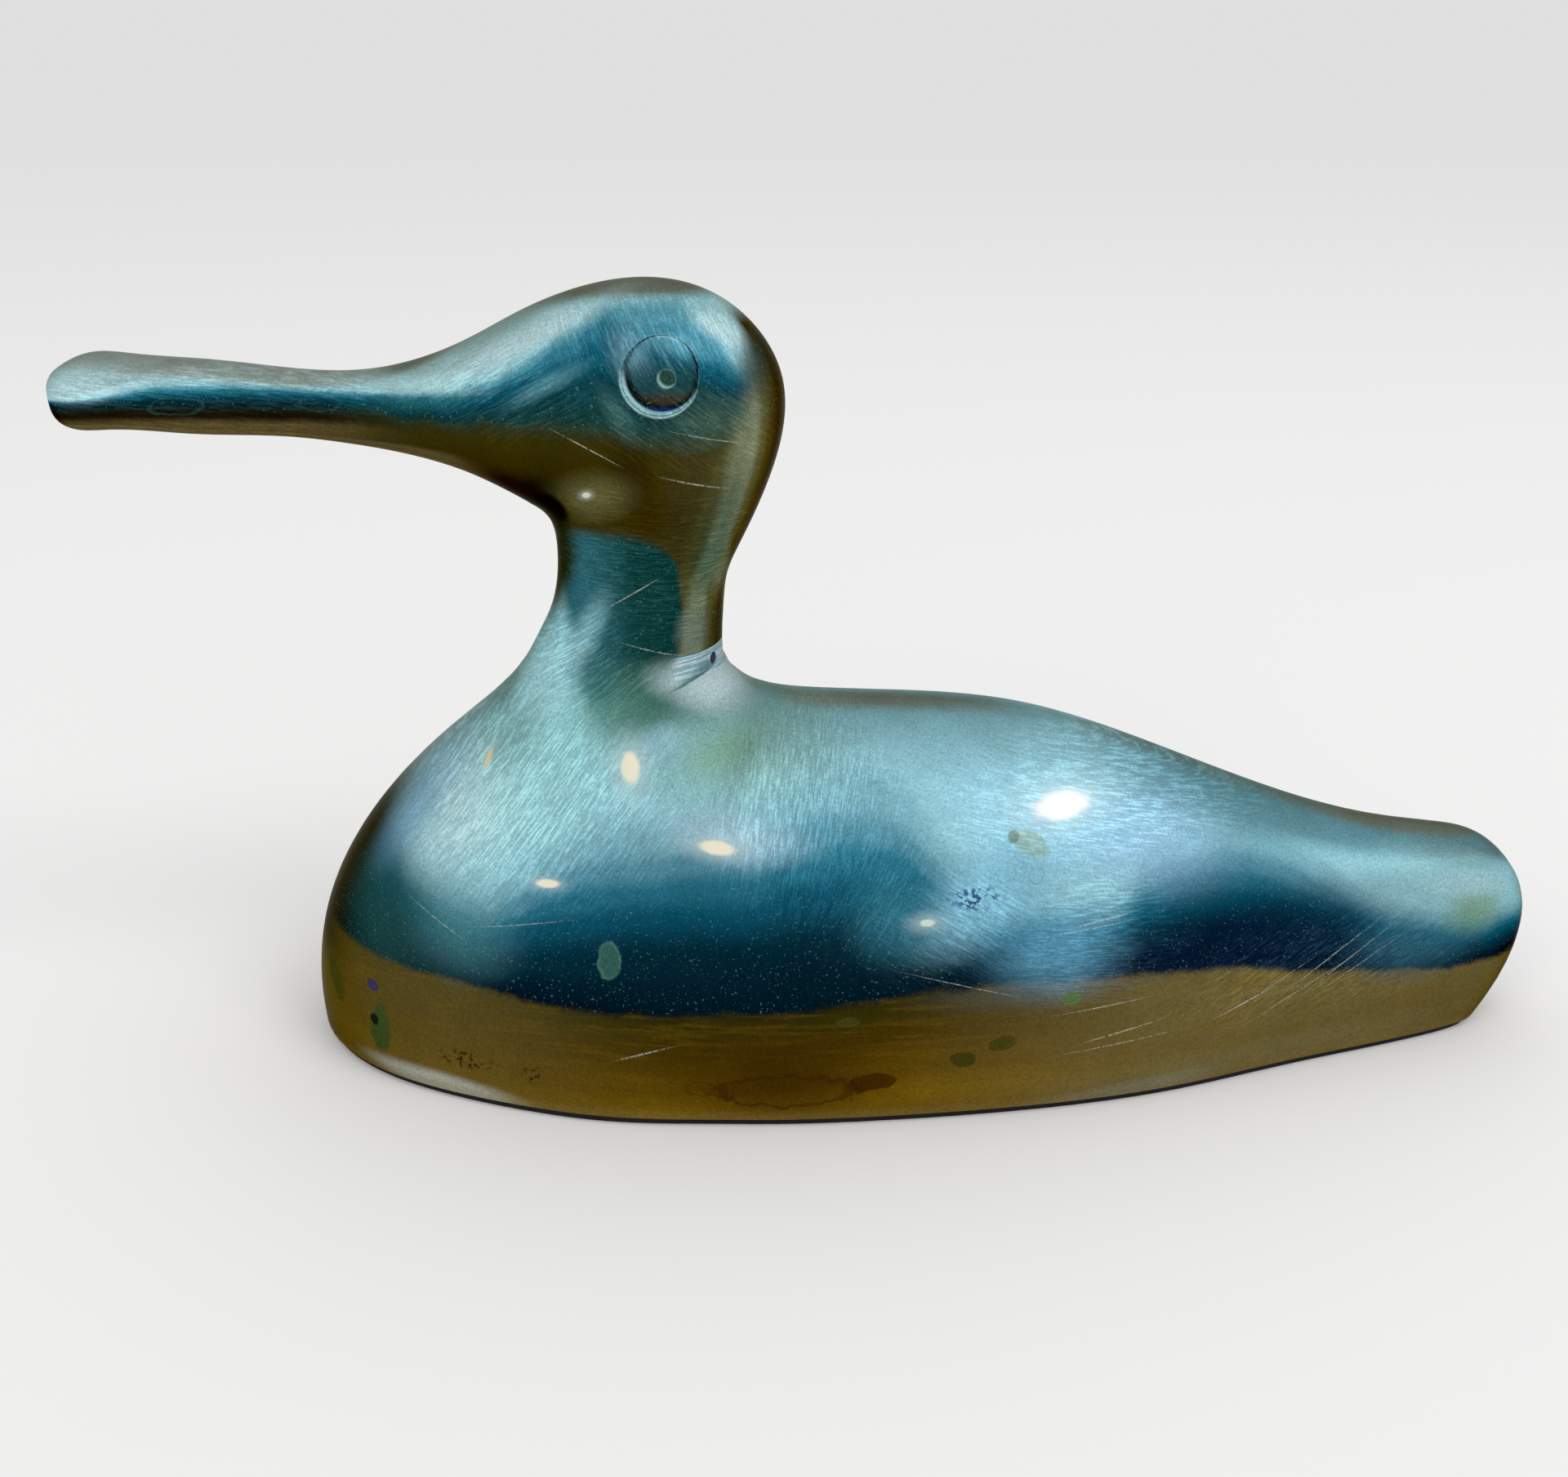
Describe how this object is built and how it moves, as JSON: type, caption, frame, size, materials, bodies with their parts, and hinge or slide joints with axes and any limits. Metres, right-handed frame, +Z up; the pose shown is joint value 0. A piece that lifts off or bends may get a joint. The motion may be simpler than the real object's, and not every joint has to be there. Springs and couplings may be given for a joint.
{
  "type": "decorative duck figurine",
  "caption": "Stylised duck figurine in polished metal with a long flat bill, a plain hollow body and a flat base faced with felt.",
  "frame": {"origin": "centre of the bounding box at the underside of the felt, on the surface that the duck stands on", "axes": "+Z up, the bill points along -X, and the duck is alike on both sides of Y = 0"},
  "size_m": [0.162, 0.0518, 0.0855],
  "materials": {
    "cast_brass": "brushed",
    "braze": "filed",
    "pin_brass": "tarnished",
    "board": "raw",
    "felt": "felt"
  },
  "bodies": {
    "root": {"body_casting": "cast_brass", "head_casting": "cast_brass", "neck_braze": "braze", "neck_pin": "pin_brass", "base_board": "board", "felt_pad": "felt"}
  },
  "joints": []
}
